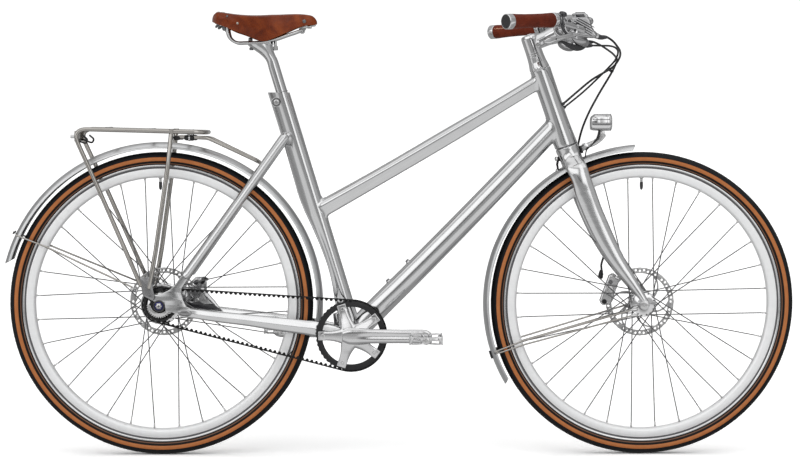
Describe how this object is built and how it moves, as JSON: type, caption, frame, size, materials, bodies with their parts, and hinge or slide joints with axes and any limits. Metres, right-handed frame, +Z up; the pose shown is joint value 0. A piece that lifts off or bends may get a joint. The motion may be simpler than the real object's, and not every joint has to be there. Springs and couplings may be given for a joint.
{
  "type": "step-through bicycle",
  "caption": "Step-through city bicycle with a raw aluminium frame, belt drive, internal-gear rear hub, disc brakes, metal fenders, tubular rear rack, headlamp and leather saddle and grips.",
  "frame": {"origin": "middle of the bicycle's length and width, on the ground under the wheels", "axes": "+X forwards towards the front wheel, +Y to the rider's left, +Z up; the drive side faces -Y"},
  "size_m": [1.8285, 0.625, 1.0262],
  "materials": {
    "frame_aluminium": "raw aluminium, polished with a fine lengthwise brush",
    "polished_aluminium": "polished",
    "fender_aluminium": "matte silver",
    "rim_aluminium": "satin silver",
    "rack_steel": "brushed stainless",
    "bright_steel": "bright stainless",
    "spoke_steel": "bright drawn wire",
    "rotor_steel": "ground stainless",
    "black_metal": "satin black anodised",
    "black_plastic": "satin black",
    "hose_black": "smooth black casing",
    "belt_rubber": "matte black toothed belt",
    "tyre_black": "matte black tread",
    "tyre_tan": "tan sidewall",
    "saddle_leather": "smooth tan-brown leather",
    "grip_leather": "stitched red-brown leather",
    "lamp_lens": "clear"
  },
  "bodies": {
    "frame": {"head_tube": "frame_aluminium", "top_tube": "frame_aluminium", "down_tube": "frame_aluminium", "seat_tube": "frame_aluminium", "seat_clamp_bolt": "bright_steel", "bottom_bracket_shell": "frame_aluminium", "bottom_bracket_cartridge": "black_metal", "chainstay_right": "frame_aluminium", "chainstay_left": "frame_aluminium", "seatstay_right": "frame_aluminium", "seatstay_left": "frame_aluminium", "headset_ring": "bright_steel", "rear_axle": "bright_steel", "rear_caliper": "polished_aluminium", "rear_fender": "fender_aluminium", "rear_fender_stay": "rack_steel", "rack": "rack_steel", "rack_brace": "rack_steel", "drive_belt": "belt_rubber", "rear_brake_hose": "hose_black", "shift_cable": "hose_black"},
    "seatpost": {"seatpost": "polished_aluminium"},
    "saddle": {"saddle_rails": "bright_steel", "saddle_leather": "saddle_leather"},
    "steering": {"fork": "frame_aluminium", "front_axle": "bright_steel", "stem": "polished_aluminium", "handlebar": "polished_aluminium", "grip_right": "grip_leather", "grip_left": "grip_leather", "lever_body_right": "polished_aluminium", "lever_body_left": "polished_aluminium", "front_fender": "fender_aluminium", "front_fender_stays": "rack_steel", "front_caliper": "polished_aluminium", "front_brake_hose": "hose_black", "lamp_bracket": "bright_steel"},
    "brake_lever_right": {"brake_lever_right": "polished_aluminium"},
    "brake_lever_left": {"brake_lever_left": "polished_aluminium"},
    "shift_lever": {"shift_lever": "black_plastic"},
    "headlamp": {"headlamp": "polished_aluminium"},
    "front_wheel": {"front_hub": "polished_aluminium", "front_rim": "rim_aluminium", "front_tyre": "tyre_black", "front_spokes_right": "spoke_steel", "front_spokes_left": "spoke_steel", "front_rotor": "rotor_steel"},
    "rear_wheel": {"rear_hub": "polished_aluminium", "rear_rim": "rim_aluminium", "rear_tyre": "tyre_black", "rear_spokes_right": "spoke_steel", "rear_spokes_left": "spoke_steel", "rear_rotor": "rotor_steel"},
    "rear_sprocket": {"rear_sprocket": "black_metal"},
    "crank": {"crank_axle": "bright_steel", "crank_arm_right": "polished_aluminium", "crank_arm_left": "polished_aluminium", "chainring": "black_metal"},
    "pedal_right": {"pedal_right": "polished_aluminium"},
    "pedal_left": {"pedal_left": "polished_aluminium"}
  },
  "joints": [
    {"name": "steering_turn", "type": "hinge", "parent": "frame", "child": "steering", "pos_m": [0.35696, 0, 0.8036], "axis": [-0.3256, 0, 0.9455], "range_deg": [-70, 70], "deforming": ["rear_brake_hose", "shift_cable"]},
    {"name": "front_wheel_spin", "type": "hinge", "parent": "steering", "child": "front_wheel", "pos_m": [0.56326, 0, 0.351], "axis": [0, 1, 0], "continuous": true},
    {"name": "rear_wheel_spin", "type": "hinge", "parent": "frame", "child": "rear_wheel", "pos_m": [-0.55174, 0, 0.351], "axis": [0, 1, 0], "continuous": true},
    {"name": "crank_turn", "type": "hinge", "parent": "frame", "child": "crank", "pos_m": [-0.11214, 0, 0.28], "axis": [0, 1, 0], "continuous": true},
    {"name": "rear_sprocket_turn", "type": "hinge", "parent": "frame", "child": "rear_sprocket", "pos_m": [-0.55174, 0, 0.351], "axis": [0, 1, 0], "continuous": true},
    {"name": "pedal_right_spin", "type": "hinge", "parent": "crank", "child": "pedal_right", "pos_m": [0.05786, -0.12, 0.28], "axis": [0, 1, 0], "continuous": true},
    {"name": "pedal_left_spin", "type": "hinge", "parent": "crank", "child": "pedal_left", "pos_m": [-0.28214, 0.12, 0.28], "axis": [0, 1, 0], "continuous": true},
    {"name": "brake_lever_right_pull", "type": "hinge", "parent": "steering", "child": "brake_lever_right", "pos_m": [0.38726, -0.185, 0.969], "axis": [-0.5411, 0.7122, -0.4472], "range_deg": [0, 8], "stiffness_Nm_per_rad": 3, "springref_deg": -17.19},
    {"name": "brake_lever_left_pull", "type": "hinge", "parent": "steering", "child": "brake_lever_left", "pos_m": [0.38726, 0.185, 0.969], "axis": [0.5411, 0.7122, 0.4472], "range_deg": [0, 8], "stiffness_Nm_per_rad": 3, "springref_deg": -17.19},
    {"name": "shift_lever_push", "type": "hinge", "parent": "steering", "child": "shift_lever", "pos_m": [0.41226, -0.15, 0.956], "axis": [0, 0, 1], "range_deg": [0, 20], "stiffness_Nm_per_rad": 0.5, "springref_deg": -17.19},
    {"name": "headlamp_tilt", "type": "hinge", "parent": "steering", "child": "headlamp", "pos_m": [0.46926, 0, 0.744], "axis": [0, 1, 0], "range_deg": [-15, 15]},
    {"name": "seatpost_height", "type": "slide", "parent": "frame", "child": "seatpost", "axis": [-0.2907, 0, 0.9568], "range_m": [-0.055, 0.045]},
    {"name": "saddle_tilt", "type": "hinge", "parent": "seatpost", "child": "saddle", "pos_m": [-0.31574, 0, 0.9415], "axis": [0, 1, 0], "range_deg": [-8, 8]}
  ],
  "couplings": [
    {"joint": "rear_sprocket_turn", "follows": "crank_turn", "ratio": 2.0909}
  ]
}
